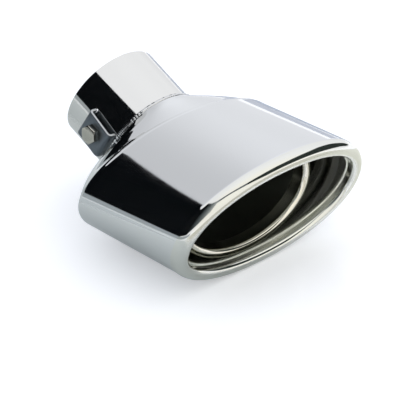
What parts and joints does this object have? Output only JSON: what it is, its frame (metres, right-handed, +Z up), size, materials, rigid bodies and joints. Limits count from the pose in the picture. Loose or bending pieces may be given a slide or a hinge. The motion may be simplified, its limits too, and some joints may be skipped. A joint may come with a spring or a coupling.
{
  "type": "exhaust tip",
  "caption": "Polished double-wall exhaust tip: slant-cut oval mouth with a rolled lip, oval inner tube, and an angled round inlet collar with a bolt clamp.",
  "frame": {"origin": "centre of the inlet bore at the collar's rear rim, where the tailpipe enters", "axes": "+X forward, from the inlet toward the mouth; +Z up as it rests; the inlet's axis lies in the XZ plane and rises 24 degrees toward the rear"},
  "size_m": [0.1637, 0.1458, 0.0894],
  "materials": {
    "polished_shell": "mirror-polished stainless sheet",
    "inner_steel": "polished stainless liner, slightly warm",
    "polished_collar": "mirror-polished stainless tube",
    "weld_bead": "rippled bright weld",
    "strap_steel": "satin steel strap",
    "zinc_steel": "bright zinc-plated steel"
  },
  "bodies": {
    "root": {"outer_shell": "polished_shell", "inner_tube": "inner_steel", "inlet_collar": "polished_collar", "collar_weld": "weld_bead", "clamp_bracket": "strap_steel", "clamp_bolt": "zinc_steel"}
  },
  "joints": []
}
